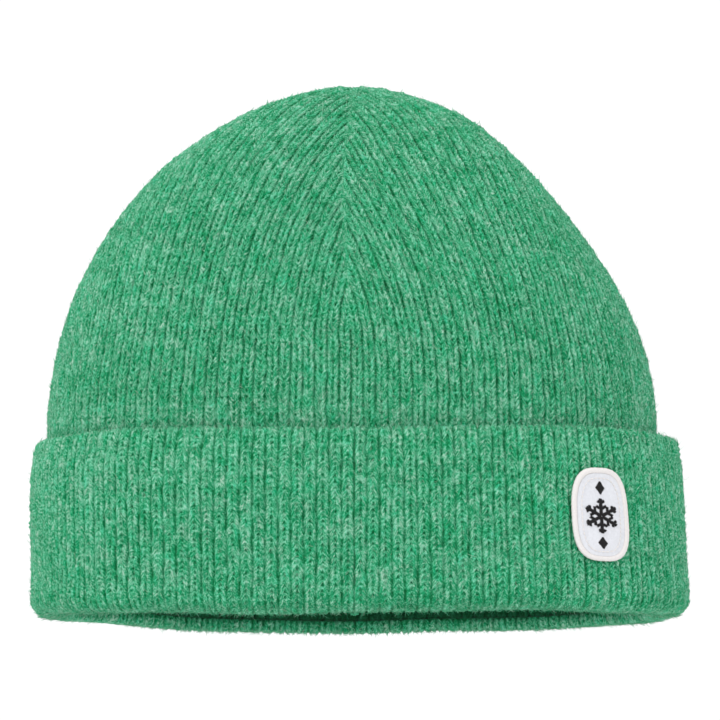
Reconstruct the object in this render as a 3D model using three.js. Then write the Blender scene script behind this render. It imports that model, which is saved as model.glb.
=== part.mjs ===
// Knit beanie with a turned-up cuff, a sewn-on patch and a blank care label.
// Millimetres, +Z up through the crown, -Y is the front with the patch.
// The origin is the centre of the head opening, on the plane of the rim.
import * as THREE from 'three';

// Overall size
const HAT_HEIGHT = 194;
const WALL_HALF_WIDTH = 108;
const WALL_HALF_DEPTH = 74;
const SECTION_POWER = 2.6;      // 2 is an ellipse, more is boxier
const KNIT_THICKNESS = 3.5;
const GAP = 0.3;                // clearance between pieces that touch

// Dome of the crown: a superelliptic outline over a straight wall
const DOME_START = 69.4;
const DOME_POWER = 1.8;
const DART_START = 100;         // height where the four crown darts begin
const CROWN_HOLE_RADIUS = 5;    // the gores end here and the closure fills it

// Cuff: distances are outward from the outside of the body wall
const CUFF_HEIGHT = 64;
const CUFF_INSIDE = 3.2;
const CUFF_TOP_OUTSIDE = 7.2;
const CUFF_BOTTOM_OUTSIDE = 9.4;
const FOLD_THICKNESS = 4;
const FOLD_OUTER_RADIUS = 6;
const FOLD_INNER_RADIUS = 2.5;
const CAST_ON_HEIGHT = 2.7;

// Seams on the inside of the fabric
const SEAM_WIDTH = 4;
const SEAM_THICKNESS = 1.8;

// Patch on the right of the cuff's front
const PATCH_ANGLE = -35.7;      // degrees about +Z, where -90 is the middle of the front
const PATCH_MIDDLE = 33.8;      // height of its middle
const PATCH_HALF_WIDTH = 8.5;
const PATCH_HALF_HEIGHT = 14.6;
const PATCH_POWER = 3;
const PATCH_LAYER = 0.6;
const BORDER_WIDTH = 1.4;
const STITCH_WIDTH = 0.6;
const MOTIF_RADIUS = 6.2;
const MOTIF_DIAMOND_OFFSET = 9.8;

// Care label inside the back
const LABEL_WIDTH = 26;
const LABEL_LENGTH = 38;
const LABEL_THICKNESS = 0.8;
const LABEL_TOP = 64.7;
const LABEL_CLEARANCE = 0.7;

// Mesh steps
const STEPS_ROUND = 48;
const STEPS_PER_GORE = 12;

const DEGREES = Math.PI / 180;
const DOME_RISE = HAT_HEIGHT - DOME_START;
const LATHE_BASE = 50;          // keeps the rings' profiles clear of the lathe's axis

const WOOL = { color: 0x4fa878, roughness: 0.95 };
const WOOL_EDGE = { color: 0x459a6c, roughness: 0.95 };
const SEAM_YARN = { color: 0x2f8a5a, roughness: 0.9 };
const WHITE_TWILL = { color: 0xf2f2ee, roughness: 0.8 };
const WHITE_THREAD = { color: 0xffffff, roughness: 0.55 };
const BLACK_THREAD = { color: 0x17171a, roughness: 0.5 };
const FELT = { color: 0xd9d9d4, roughness: 1 };
const SATIN = { color: 0xf4f3ee, roughness: 0.4 };

const beanie = new THREE.Group();

function addPiece(name, geometry, look) {
  const material = new THREE.MeshStandardMaterial({ ...look, metalness: 0 });
  const mesh = new THREE.Mesh(geometry, material);
  mesh.name = name;
  beanie.add(mesh);
}

// Moves every vertex of a geometry by a function from its old place to its new one.
function remap(geometry, place) {
  const position = geometry.attributes.position;
  for (let i = 0; i < position.count; i += 1) {
    const moved = place(position.getX(i), position.getY(i), position.getZ(i));
    position.setXYZ(i, moved.x, moved.y, moved.z);
  }
  geometry.computeVertexNormals();
  return geometry;
}

// ---- The outer skin of the hat -------------------------------------------

// Distance from the middle to the oval section in a direction.
function sectionRadius(angle, halfWidth, halfDepth) {
  const across = Math.abs(Math.cos(angle) / halfWidth) ** SECTION_POWER;
  const along = Math.abs(Math.sin(angle) / halfDepth) ** SECTION_POWER;
  return (across + along) ** (-1 / SECTION_POWER);
}

// A level is a height up to DOME_START; over it, one more degree of turn is one unit,
// so DOME_START + 90 is the very top.
function outline(level) {
  if (level <= DOME_START) {
    return { scale: 1, z: level };
  }
  const turn = Math.min(level - DOME_START, 90) * DEGREES;
  return {
    scale: Math.cos(turn) ** (2 / DOME_POWER),
    z: DOME_START + DOME_RISE * Math.sin(turn) ** (2 / DOME_POWER),
  };
}

function levelOfHeight(z) {
  const rise = (z - DOME_START) / DOME_RISE;
  return DOME_START + Math.asin(rise ** (DOME_POWER / 2)) / DEGREES;
}

function levelOfScale(scale) {
  return DOME_START + Math.acos(scale ** (DOME_POWER / 2)) / DEGREES;
}

function surfacePoint(angle, level) {
  const { scale, z } = outline(level);
  const radius = scale * sectionRadius(angle, WALL_HALF_WIDTH, WALL_HALF_DEPTH);
  return new THREE.Vector3(radius * Math.cos(angle), radius * Math.sin(angle), z);
}

function surfaceNormal(angle, level) {
  const step = 0.01;
  const round = surfacePoint(angle + step, level).sub(surfacePoint(angle - step, level));
  const up = surfacePoint(angle, level + step).sub(surfacePoint(angle, level - step));
  return round.cross(up).normalize();
}

// A point of the skin, moved out of the hat along the skin's normal.
function skinPoint(angle, level, outward) {
  const normal = surfaceNormal(angle, level);
  return surfacePoint(angle, level).addScaledVector(normal, outward);
}

// ---- Shapes bent to the skin -----------------------------------------------

// A closed ring: profile points are [outward, level].
function skinRing(profile) {
  const points = profile.map(([outward, level]) => new THREE.Vector2(LATHE_BASE + outward, level));
  points.push(points[0].clone());
  const ring = new THREE.LatheGeometry(points, STEPS_ROUND);
  return remap(ring, (x, level, z) => {
    const outward = Math.hypot(x, z) - LATHE_BASE;
    return skinPoint(Math.atan2(-z, x), level, outward);
  });
}

// A panel between two levels and two outward distances. sides(level) gives its two angles.
function skinPanel(sides, levels, depths, stepsRound, stepsUp) {
  const panel = new THREE.BoxGeometry(1, 1, 1, stepsRound, stepsUp, 1);
  return remap(panel, (x, y, z) => {
    const level = THREE.MathUtils.lerp(levels[0], levels[1], y + 0.5);
    const [first, last] = sides(level);
    const angle = THREE.MathUtils.lerp(first, last, x + 0.5);
    return skinPoint(angle, level, THREE.MathUtils.lerp(depths[0], depths[1], z + 0.5));
  });
}

// Half the angle that a strip of this width covers at a level.
function halfAngle(width, middle, level) {
  const { scale } = outline(level);
  return width / 2 / (scale * sectionRadius(middle, WALL_HALF_WIDTH, WALL_HALF_DEPTH));
}

function skinStrip(middle, width, levels, depths, stepsUp) {
  const sides = (level) => {
    const half = halfAngle(width, middle, level);
    return [middle - half, middle + half];
  };
  return skinPanel(sides, levels, depths, 2, stepsUp);
}

function arcPoints(centre, radius, startAngle, endAngle, steps) {
  const points = [];
  for (let i = 0; i <= steps; i += 1) {
    const angle = THREE.MathUtils.lerp(startAngle, endAngle, i / steps) * DEGREES;
    points.push([centre[0] + radius * Math.cos(angle), centre[1] + radius * Math.sin(angle)]);
  }
  return points;
}

// ---- Knitted fabric ---------------------------------------------------------

function makeBodyWall() {
  const bottom = FOLD_THICKNESS + GAP;
  const top = levelOfHeight(DART_START - GAP / 2);
  const rows = [bottom, DOME_START, (DOME_START + top) / 2, top];
  const outside = rows.map((level) => [0, level]);
  const inside = rows.map((level) => [-KNIT_THICKNESS, level]).reverse();
  addPiece('body_wall', skinRing([...outside, ...inside]), WOOL);
}

const GORES = [
  ['gore_front_right', -90],
  ['gore_back_right', 0],
  ['gore_back_left', 90],
  ['gore_front_left', 180],
];
const CROWN_HOLE_SCALE = CROWN_HOLE_RADIUS / WALL_HALF_DEPTH;
const CROWN_TOP_LEVEL = levelOfScale(CROWN_HOLE_SCALE);

function makeGores() {
  const levels = [levelOfHeight(DART_START + GAP / 2), CROWN_TOP_LEVEL];
  for (const [name, firstSide] of GORES) {
    const first = firstSide * DEGREES;
    const last = first + 90 * DEGREES;
    const sides = (level) => [first + halfAngle(GAP, first, level), last - halfAngle(GAP, last, level)];
    addPiece(name, skinPanel(sides, levels, [-KNIT_THICKNESS, 0], STEPS_PER_GORE, 10), WOOL);
  }
}

// The drawn-in top: an oval button in the hole that the gores leave.
function makeCrownClosure() {
  const margin = 1;
  const profile = [[0, -3.5], [0.8, -3.5], [1, -2.9], [1, -0.6], [0.8, 0], [0, 0.3]];
  const points = profile.map(([share, height]) => new THREE.Vector2(share, height));
  const button = new THREE.LatheGeometry(points, 16);
  addPiece('crown_closure', remap(button, (x, height, z) => {
    const angle = Math.atan2(-z, x);
    const hole = CROWN_HOLE_SCALE * sectionRadius(angle, WALL_HALF_WIDTH, WALL_HALF_DEPTH) - margin;
    return new THREE.Vector3(x * hole, -z * hole, HAT_HEIGHT + height);
  }), SEAM_YARN);
}

function makeCuff() {
  const foldEdge = CUFF_BOTTOM_OUTSIDE - FOLD_OUTER_RADIUS;
  const inner = -KNIT_THICKNESS;
  const top = CUFF_HEIGHT - CAST_ON_HEIGHT - GAP;
  const profile = [
    [inner, FOLD_THICKNESS],
    ...arcPoints([inner + FOLD_INNER_RADIUS, FOLD_INNER_RADIUS], FOLD_INNER_RADIUS, 180, 270, 3),
    ...arcPoints([foldEdge, FOLD_OUTER_RADIUS], FOLD_OUTER_RADIUS, 270, 360, 4),
    [CUFF_TOP_OUTSIDE, top],
    [CUFF_INSIDE, top],
    [CUFF_INSIDE, FOLD_THICKNESS],
  ];
  addPiece('cuff_turn_up', skinRing(profile), WOOL);
}

function makeCastOnEdge() {
  const bottom = CUFF_HEIGHT - CAST_ON_HEIGHT;
  const middle = (CUFF_INSIDE + CUFF_TOP_OUTSIDE) / 2;
  const half = (CUFF_TOP_OUTSIDE - CUFF_INSIDE) / 2;
  const profile = [
    [middle - half, bottom],
    [middle + half, bottom],
    ...arcPoints([middle, CUFF_HEIGHT - half * 0.8], half, 0, 180, 4)
      .map(([outward, level]) => [outward, Math.min(level, CUFF_HEIGHT)]),
  ];
  addPiece('cuff_cast_on_edge', skinRing(profile), WOOL_EDGE);
}

// ---- Seams ------------------------------------------------------------------

function makeSeams() {
  const inside = [-KNIT_THICKNESS - GAP - SEAM_THICKNESS, -KNIT_THICKNESS - GAP];
  const dartLevels = [levelOfHeight(DART_START + GAP / 2), CROWN_TOP_LEVEL - 2];
  const darts = [['front', -90], ['right', 0], ['back', 90], ['left', 180]];
  for (const [side, angle] of darts) {
    addPiece(`dart_seam_${side}`, skinStrip(angle * DEGREES, SEAM_WIDTH, dartLevels, inside, 9), SEAM_YARN);
  }
  const back = 90 * DEGREES;
  const bodyLevels = [FOLD_THICKNESS + 2, levelOfHeight(DART_START - GAP / 2)];
  addPiece('body_back_seam', skinStrip(back, SEAM_WIDTH, bodyLevels, inside, 12), SEAM_YARN);

  const between = [CUFF_INSIDE - GAP - SEAM_THICKNESS, CUFF_INSIDE - GAP];
  const cuffLevels = [FOLD_THICKNESS + GAP, CUFF_HEIGHT - CAST_ON_HEIGHT];
  addPiece('cuff_back_seam', skinStrip(back, SEAM_WIDTH, cuffLevels, between, 2), SEAM_YARN);
}

// ---- Patch ------------------------------------------------------------------

// A point of the patch: right and up across it from its middle, outward from the cuff.
function patchPoint(right, up, outward) {
  const middle = PATCH_ANGLE * DEGREES;
  const step = 0.01;
  const speed = surfacePoint(middle + step, 0).distanceTo(surfacePoint(middle - step, 0)) / (2 * step);
  const level = PATCH_MIDDLE + up;
  const down = (CUFF_HEIGHT - level) / (CUFF_HEIGHT - FOLD_OUTER_RADIUS);
  const cuffOutside = THREE.MathUtils.lerp(CUFF_TOP_OUTSIDE, CUFF_BOTTOM_OUTSIDE, down);
  return skinPoint(middle + right / speed, level, cuffOutside + outward);
}

// The patch's outline, made wider or narrower by a margin.
function patchOutline(angle, margin) {
  const across = Math.abs(Math.cos(angle)) ** PATCH_POWER;
  const along = Math.abs(Math.sin(angle)) ** PATCH_POWER;
  const reach = (across + along) ** (-1 / PATCH_POWER);
  return [
    (PATCH_HALF_WIDTH + margin) * reach * Math.cos(angle),
    (PATCH_HALF_HEIGHT + margin) * reach * Math.sin(angle),
  ];
}

// A disc or ring in the patch's outline. Profile points are [share, margin, outward]:
// the share of the way from the middle to the outline, and the margin added there.
function patchLathe(profile) {
  const points = profile.map((corner, index) => new THREE.Vector2(corner[0] > 0 ? 1 : 0, index));
  const disc = new THREE.LatheGeometry(points, 32);
  return remap(disc, (x, index, z) => {
    const [share, margin, outward] = profile[Math.round(index)];
    const [right, up] = patchOutline(Math.atan2(-z, x), margin);
    return patchPoint(right * share, up * share, outward);
  });
}

function patchSheet(bottom, margin) {
  const top = bottom + PATCH_LAYER;
  return patchLathe([
    [0, 0, bottom],
    [0.5, 0, bottom],
    [1, margin, bottom],
    [1, margin, top],
    [0.5, 0, top],
    [0, 0, top],
  ]);
}

function patchRing(innerMargin, outerMargin, bottom, top) {
  return patchLathe([
    [1, innerMargin, bottom],
    [1, outerMargin, bottom],
    [1, outerMargin, top],
    [1, innerMargin, top],
    [1, innerMargin, bottom],
  ]);
}

// One arm of the six-armed star, lying along X: the upper side of its outline, from the middle out.
// Each branch starts at a share of the star's radius and is a share of it long.
function armSide() {
  const halfWidth = 0.6;
  const branchWidth = 1;
  const slope = new THREE.Vector2(Math.cos(60 * DEGREES), Math.sin(60 * DEGREES));
  const side = [new THREE.Vector2(halfWidth * Math.sqrt(3), halfWidth)];
  for (const [start, length] of [[0.35, 0.35], [0.68, 0.21]]) {
    const root = new THREE.Vector2(start * MOTIF_RADIUS, halfWidth);
    const far = root.clone().add(new THREE.Vector2(branchWidth / slope.y, 0));
    const branch = slope.clone().multiplyScalar(length * MOTIF_RADIUS);
    side.push(root, root.clone().add(branch), far.clone().add(branch), far);
  }
  side.push(new THREE.Vector2(MOTIF_RADIUS, halfWidth));
  return side;
}

function starShape() {
  const upper = armSide();
  const lower = upper.map((point) => new THREE.Vector2(point.x, -point.y));
  const arm = [...lower, ...upper.slice(1).reverse()];
  const points = [];
  for (let turn = 30; turn < 390; turn += 60) {
    points.push(...arm.map((point) => point.clone().rotateAround(new THREE.Vector2(), turn * DEGREES)));
  }
  return new THREE.Shape(points);
}

function diamondShape(up) {
  return new THREE.Shape([
    new THREE.Vector2(1.9, up),
    new THREE.Vector2(0, up + 2.1),
    new THREE.Vector2(-1.9, up),
    new THREE.Vector2(0, up - 2.1),
  ]);
}

function embroidery(shape, bottom) {
  const solid = new THREE.ExtrudeGeometry(shape, { depth: PATCH_LAYER, bevelEnabled: false });
  return remap(solid, (x, y, z) => patchPoint(x, y, bottom + z));
}

function makePatch() {
  const baseBottom = 2 * GAP + PATCH_LAYER;
  const stitchBottom = baseBottom + PATCH_LAYER + GAP;
  addPiece('patch_backing', patchSheet(GAP, 0), FELT);
  addPiece('patch_base', patchSheet(baseBottom, 0), WHITE_TWILL);
  addPiece('patch_border', patchRing(GAP, GAP + BORDER_WIDTH, GAP, stitchBottom + 0.2), WHITE_THREAD);
  const sewing = patchRing(-1.4 - STITCH_WIDTH, -1.4, stitchBottom, stitchBottom + 0.4);
  addPiece('patch_sewing_thread', sewing, WHITE_THREAD);
  addPiece('patch_star', embroidery(starShape(), stitchBottom), BLACK_THREAD);
  addPiece('patch_upper_diamond', embroidery(diamondShape(MOTIF_DIAMOND_OFFSET), stitchBottom), BLACK_THREAD);
  addPiece('patch_lower_diamond', embroidery(diamondShape(-MOTIF_DIAMOND_OFFSET), stitchBottom), BLACK_THREAD);
}

// ---- Care label -------------------------------------------------------------

function makeCareLabel() {
  const seamFace = WALL_HALF_DEPTH - KNIT_THICKNESS - GAP - SEAM_THICKNESS;
  const middle = seamFace - LABEL_CLEARANCE - LABEL_THICKNESS / 2;
  const label = new THREE.BoxGeometry(LABEL_WIDTH, LABEL_THICKNESS, LABEL_LENGTH);
  label.translate(0, middle, LABEL_TOP - LABEL_LENGTH / 2);
  addPiece('care_label', label, SATIN);

  const stitchHeight = 2;
  const stitching = new THREE.BoxGeometry(LABEL_WIDTH, 1, stitchHeight);
  stitching.translate(0, seamFace - GAP - 0.5, LABEL_TOP + 1 + stitchHeight / 2);
  addPiece('care_label_stitching', stitching, SEAM_YARN);
}

makeBodyWall();
makeGores();
makeCrownClosure();
makeCuff();
makeCastOnEdge();
makeSeams();
makePatch();
makeCareLabel();

export default beanie;
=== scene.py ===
"""Knit beanie: brushed rib wool body and turned-up cuff, sewn patch and inner care label."""
import math

import bpy
import numpy as np
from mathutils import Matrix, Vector


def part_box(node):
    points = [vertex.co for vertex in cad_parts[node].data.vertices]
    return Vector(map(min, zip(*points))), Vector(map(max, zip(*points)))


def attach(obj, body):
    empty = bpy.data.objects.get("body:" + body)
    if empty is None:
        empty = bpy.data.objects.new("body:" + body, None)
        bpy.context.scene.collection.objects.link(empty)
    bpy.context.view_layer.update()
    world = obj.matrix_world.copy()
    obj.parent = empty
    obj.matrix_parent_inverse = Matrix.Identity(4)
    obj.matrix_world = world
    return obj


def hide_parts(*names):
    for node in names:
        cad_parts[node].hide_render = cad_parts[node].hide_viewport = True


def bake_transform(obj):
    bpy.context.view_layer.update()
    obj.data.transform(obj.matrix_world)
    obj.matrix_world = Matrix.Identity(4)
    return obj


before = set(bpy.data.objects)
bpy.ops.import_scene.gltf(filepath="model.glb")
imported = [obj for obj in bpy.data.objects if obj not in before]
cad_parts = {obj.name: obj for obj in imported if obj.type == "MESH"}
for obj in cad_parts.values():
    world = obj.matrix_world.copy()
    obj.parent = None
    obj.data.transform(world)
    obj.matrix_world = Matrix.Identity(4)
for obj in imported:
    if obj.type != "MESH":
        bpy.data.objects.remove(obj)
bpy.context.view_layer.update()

MM = 0.001

# ---- Shape of the hat, in metres, as the CAD nodes have it ------------------
WALL_LOW, WALL_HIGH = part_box("body_wall")
_, CUFF_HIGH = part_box("cuff_turn_up")
_, EDGE_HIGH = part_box("cuff_cast_on_edge")
GORE_LOW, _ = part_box("gore_front_right")
LABEL_LOW, LABEL_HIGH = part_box("care_label")
LABEL_STITCH_LOW, LABEL_STITCH_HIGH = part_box("care_label_stitching")

HALF_WIDTH = WALL_HIGH.x
HALF_DEPTH = WALL_HIGH.y
SECTION_POWER = 2.6
KNIT = 3.5 * MM
DOME_START = 69.4 * MM
DOME_POWER = 1.8
HAT_HEIGHT = 194 * MM
DOME_RISE = HAT_HEIGHT - DOME_START
DART_START = GORE_LOW.z
CROWN_HOLE_RADIUS = 5 * MM
CUFF_HEIGHT = EDGE_HIGH.z
CUFF_INSIDE = 3.2 * MM
CUFF_TOP_OUTSIDE = EDGE_HIGH.x - HALF_WIDTH
CUFF_BOTTOM_OUTSIDE = CUFF_HIGH.x - HALF_WIDTH
FOLD_THICKNESS = 4 * MM
FOLD_OUTER_RADIUS = 6 * MM
FOLD_INNER_RADIUS = 2.5 * MM
PATCH_ANGLE = math.radians(-35.7)
PATCH_MIDDLE = 33.8 * MM
PATCH_HALF_WIDTH = 8.5 * MM
PATCH_HALF_HEIGHT = 14.6 * MM
PATCH_POWER = 3
MOTIF_RADIUS = 6.2 * MM
MOTIF_DIAMOND_OFFSET = 9.8 * MM
BACK = math.pi / 2

# ---- Knit --------------------------------------------------------------------
RIBS = 280                      # half ribs round the whole hat, the same even number in every quarter
QUARTER_RIBS = RIBS // 4
WALL_ROWS = 46
HIDDEN_ROWS = 24                # rows of the wall that the cuff covers
ROW_HEIGHT = 2.1 * MM
CUFF_ROW_HEIGHT = 1.98 * MM
LEG_SLOPE = 0.28                # of a stitch's legs: ribs sideways to a row up
LEG_HALF_WIDTH = 0.135          # against the width of a wale
GROOVE_WIDTH, CLEFT_WIDTH = 0.24, 0.20      # against half that width
FRONT_DART_SHARE = 0.38         # share of the lost ribs that end at the front or back dart
CROWN_SPREAD = 0.13             # how much wider apart the ribs are near the top
CREASE_DEPTH = 0.45 * MM        # of the fabric along a dart seam
CREASE_WIDTH = 2.2 * MM
CUFF_TOP_ROW = 120              # the cuff's rows count down from here, so that its stitches are upside down
RIB_STEPS = 8                   # mesh steps across a half rib on the outside
ROW_STEPS = 4                   # and along a row

# ---- Shade: how open each part is to the light, 0 to 1, and the yarn's tint ----
CREASE_SHADE = 0.10             # a millimetre of crease
MEETING_OPEN = 0.62             # where two gores meet
MEETING_WIDTH = 1.0 * MM
LOWER_PAINTED_LIGHT, LOWER_PAINTED_LIGHT_TINT = 0.07, 0.05     # painted light: how much lighter the wall and lower crown are painted than the top, in openness and in tint
INSIDE_OPEN = 0.75              # of the knit's inner faces against its outer ones
SLOT_SHADE = 0.95               # of the inner face just above the rim, where the camera looks in
DEEP_LIGHT = 0.60               # how much of that goes away further in
HEM_SHADE = 0.80                # of the cuff's edge inside the rim
LIP_TINT, LOW_TINT = 0.05, -0.12        # of the fold's lowest line and of the cuff just above it

# ---- Loose fibres: count in a quarter, length and lift ---------------------------
FIBRE_STEPS = 3
FIBRE_THICKNESS = 0.078 * MM    # radius at the root
WALL_FIBRES = 9500, 1.5 * MM, 0.16 * MM
COVERED_FIBRES = 2500, 1.5 * MM, 0.16 * MM
GORE_FIBRES = 12000, 1.5 * MM, 0.16 * MM
CUFF_FIBRES = 9000, 1.5 * MM, 0.16 * MM
RIM_FIBRES = 2000, 1.8 * MM, 0.40 * MM
TOP_FIBRES = 1200, 1.8 * MM, 0.30 * MM
FIBRE_ROOTS_OPEN = 0.45         # fibres root where the knit is at least this open to the light
COVERED_HEIGHT = 52 * MM        # the cuff covers the wall up to here, so fewer fibres do

# ---- Seams ------------------------------------------------------------------------
SEAM_PITCH = 2.2 * MM
SEAM_HALF_WIDTH, SEAM_HALF_DEPTH = 1.25 * MM, 0.42 * MM
SEAM_YARN = 0.45 * MM           # radius

# ---- Patch ------------------------------------------------------------------------
PATCH_BORDER = 1.6 * MM         # how far the border and its pressure on the knit reach past the patch
FELT = 0.3 * MM, 0.9 * MM       # bottom and top over the cuff
TWILL = 1.2 * MM, 1.55 * MM
SEWING_INSET = 1.6 * MM
THREAD_PITCH = 0.27 * MM        # of the motif's satin stitch

# ---- Stage ----------------------------------------------------------------------
FLOOR_HEIGHT = -0.2
WHITE_SKY = 1.06
KEY_POWER, FILL_POWER = 18.2, 2.0
LIGHT_SIZE = 1.2
LIGHT_AIM = Vector((0, 0, 0.1))

QUARTERS = {                    # name: angle where it starts, and whether it starts at the front or back
    "front_right": (-90, True),
    "back_right": (0, False),
    "back_left": (90, True),
    "front_left": (180, False),
}

NOISE_ROWS = 256
random = np.random.default_rng(11)
NOISE = random.normal(size=(8, RIBS, NOISE_ROWS))
CHANCE = random.random(size=(4, RIBS, NOISE_ROWS))
WANDER, LIFT, LEG_SIZE, LEG_TINT, YARN_TINT, PATCH_TINT = range(6)      # uses of NOISE


# ---- The skin of the hat -------------------------------------------------------
def section_radius(angle):
    across = np.abs(np.cos(angle) / HALF_WIDTH) ** SECTION_POWER
    along = np.abs(np.sin(angle) / HALF_DEPTH) ** SECTION_POWER
    return (across + along) ** (-1 / SECTION_POWER)


def outline(level):
    """Scale of the section and height at a level: metres up to DOME_START, then a radian of turn a metre."""
    turn = np.clip(level - DOME_START, 0, math.pi / 2)
    scale = np.clip(np.cos(turn), 1e-6, 1) ** (2 / DOME_POWER)
    height = np.minimum(level, DOME_START) + DOME_RISE * np.sin(turn) ** (2 / DOME_POWER)
    return scale, height


def level_of_height(z):
    rise = np.clip((np.asarray(z, float) - DOME_START) / DOME_RISE, 0, 1)
    return np.where(rise > 0, DOME_START + np.arcsin(rise ** (DOME_POWER / 2)), z)


DART_SCALE = outline(level_of_height(DART_START))[0]


def surface(angle, level):
    scale, height = outline(level)
    radius = scale * section_radius(angle)
    return np.stack([radius * np.cos(angle), radius * np.sin(angle), height], axis=-1)


def unit(vectors):
    return vectors / np.maximum(np.linalg.norm(vectors, axis=-1, keepdims=True), 1e-12)


def normals(angle, level):
    step = 1e-4
    round_way = surface(angle + step, level) - surface(angle - step, level)
    low = np.minimum(level - step, DOME_START + math.pi / 2 - 3 * step)
    up_way = surface(angle, low + 2 * step) - surface(angle, low)
    return unit(np.cross(round_way, up_way))


def run_length(points):
    """Distance along a line of points from its start."""
    return np.concatenate([[0], np.cumsum(np.linalg.norm(np.diff(points, axis=0), axis=1))])


def arc_table():
    """Share of a quarter's way round, by length, against the angle from the start of an even quarter."""
    angle = np.linspace(-math.pi / 2, 0, 2001)
    points = surface(angle, np.zeros_like(angle))
    length = run_length(points)
    return angle + math.pi / 2, length / length[-1], length[-1]


ARC_ANGLE, ARC_SHARE, QUARTER_LENGTH = arc_table()


def quarter_angle(share, start_degrees, from_middle):
    """Angle round the hat at a share of a quarter's length. Quarters that start at a side are mirrored."""
    if from_middle:
        turn = np.interp(share, ARC_SHARE, ARC_ANGLE)
    else:
        turn = math.pi / 2 - np.interp(1 - share, ARC_SHARE, ARC_ANGLE)
    return math.radians(start_degrees) + turn


# ---- How the soft hat differs from the even shape ---------------------------------
def smooth(value, low, high):
    """0 below low, 1 over high and a smooth rise between."""
    share = np.clip((value - low) / (high - low), 0, 1)
    return share * share * (3 - 2 * share)


def around_hat(points):
    return np.arctan2(points[..., 1] / HALF_DEPTH, points[..., 0] / HALF_WIDTH)


def swell(around, z):
    waves = (0.9 * np.sin(2 * around + 0.6 + 14 * z) + 0.6 * np.sin(3 * around + 1.9 - 22 * z)
             + 0.4 * np.sin(5 * around + 4.0 + 31 * z)) * MM
    dome = (-0.9 * smooth(z, 0.115, 0.150) + 0.5 * np.exp(-((z - 0.104) / 0.022) ** 2)) * MM
    return (waves + dome) * np.clip((HAT_HEIGHT - z) / (40 * MM), 0, 1)


def sideways(around, distance):
    zero = np.zeros_like(around)
    return np.stack([np.cos(around), np.sin(around), zero], axis=-1) * distance[..., None]


def settle(points, around, z):
    """What cuff and wall share: a rim that leans right, low in front and behind and high at the sides."""
    moved = points + sideways(around, swell(around, z) * smooth(z, 4 * MM, 60 * MM))
    side = np.clip(points[..., 0] / HALF_WIDTH, -1, 1) ** 2
    moved[..., 0] += 2.0 * MM * side * (1 - smooth(z, 0, 62 * MM))
    front = np.clip(-np.sin(around), 0, 1) ** 2
    back = np.clip(np.sin(around), 0, 1) ** 2
    rim = 2.0 * np.cos(around) ** 2 + (0.2 + np.cos(around)) * front - 0.4 * back
    rim = rim + 3.9 * back * np.cos(around) ** 2 - 0.5 * np.clip(np.cos(around), 0, 1) * back
    rim = rim + 0.35 * np.sin(5 * around + 1.0) + 0.2 * np.sin(11 * around)
    moved[..., 2] += rim * (1 - smooth(z, 0, 45 * MM)) * MM
    return moved


def slouch(points):
    """The crown's gentle unevenness, its lean to the left, and its low top."""
    around, z = around_hat(points), points[..., 2]
    moved = settle(points, around, z)
    lean = 1.1 * smooth(z, 0.01, 0.075) + 2.7 * smooth(z, 0.085, 0.150) - 3.0 * smooth(z, 0.158, 0.188)
    moved[..., 0] -= lean * MM
    moved[..., 2] -= 0.9 * smooth(z, 0.180, 0.193) * MM
    return moved


def cuff_sag(points):
    """The cuff's own waves, and its top edge, which leans on the wall and is higher on the right."""
    around, z = around_hat(points), points[..., 2]
    rise = np.clip(z / CUFF_HEIGHT, 0, 1)
    own = (0.35 + 0.35 * np.sin(3 * around + 0.3 + 25 * z) + 0.3 * np.sin(7 * around + 2.0)) * rise * MM
    tuck = 1.7 * MM * smooth(z, 50 * MM, CUFF_HEIGHT + 2 * MM)
    moved = settle(points, around, z) + sideways(around, own - tuck)
    edge = smooth(z, 35 * MM, CUFF_HEIGHT)
    moved[..., 2] += (0.6 + 0.8 * np.cos(around) + 0.5 * np.sin(5 * around)) * edge * MM
    return moved


# ---- Stitches --------------------------------------------------------------------
def lattice(place, span):
    cell = np.floor(place / span)
    share = place / span - cell
    return cell.astype(int), share * share * (3 - 2 * share)


def drift(table, rib, row, ribs, rows):
    """Smooth noise that changes over a number of half ribs, which divides RIBS, and of rows."""
    column, across = lattice(rib, ribs)
    line, along = lattice(row, rows)
    columns = RIBS // ribs

    def corner(right, up):
        return NOISE[table, (column + right) % columns, (line + up) % NOISE_ROWS]

    low = corner(0, 0) * (1 - across) + corner(1, 0) * across
    high = corner(0, 1) * (1 - across) + corner(1, 1) * across
    return low * (1 - along) + high * along


def per_stitch(table, column, line):
    return table[np.floor(column).astype(int) % RIBS, np.floor(line).astype(int) % NOISE_ROWS]


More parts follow.
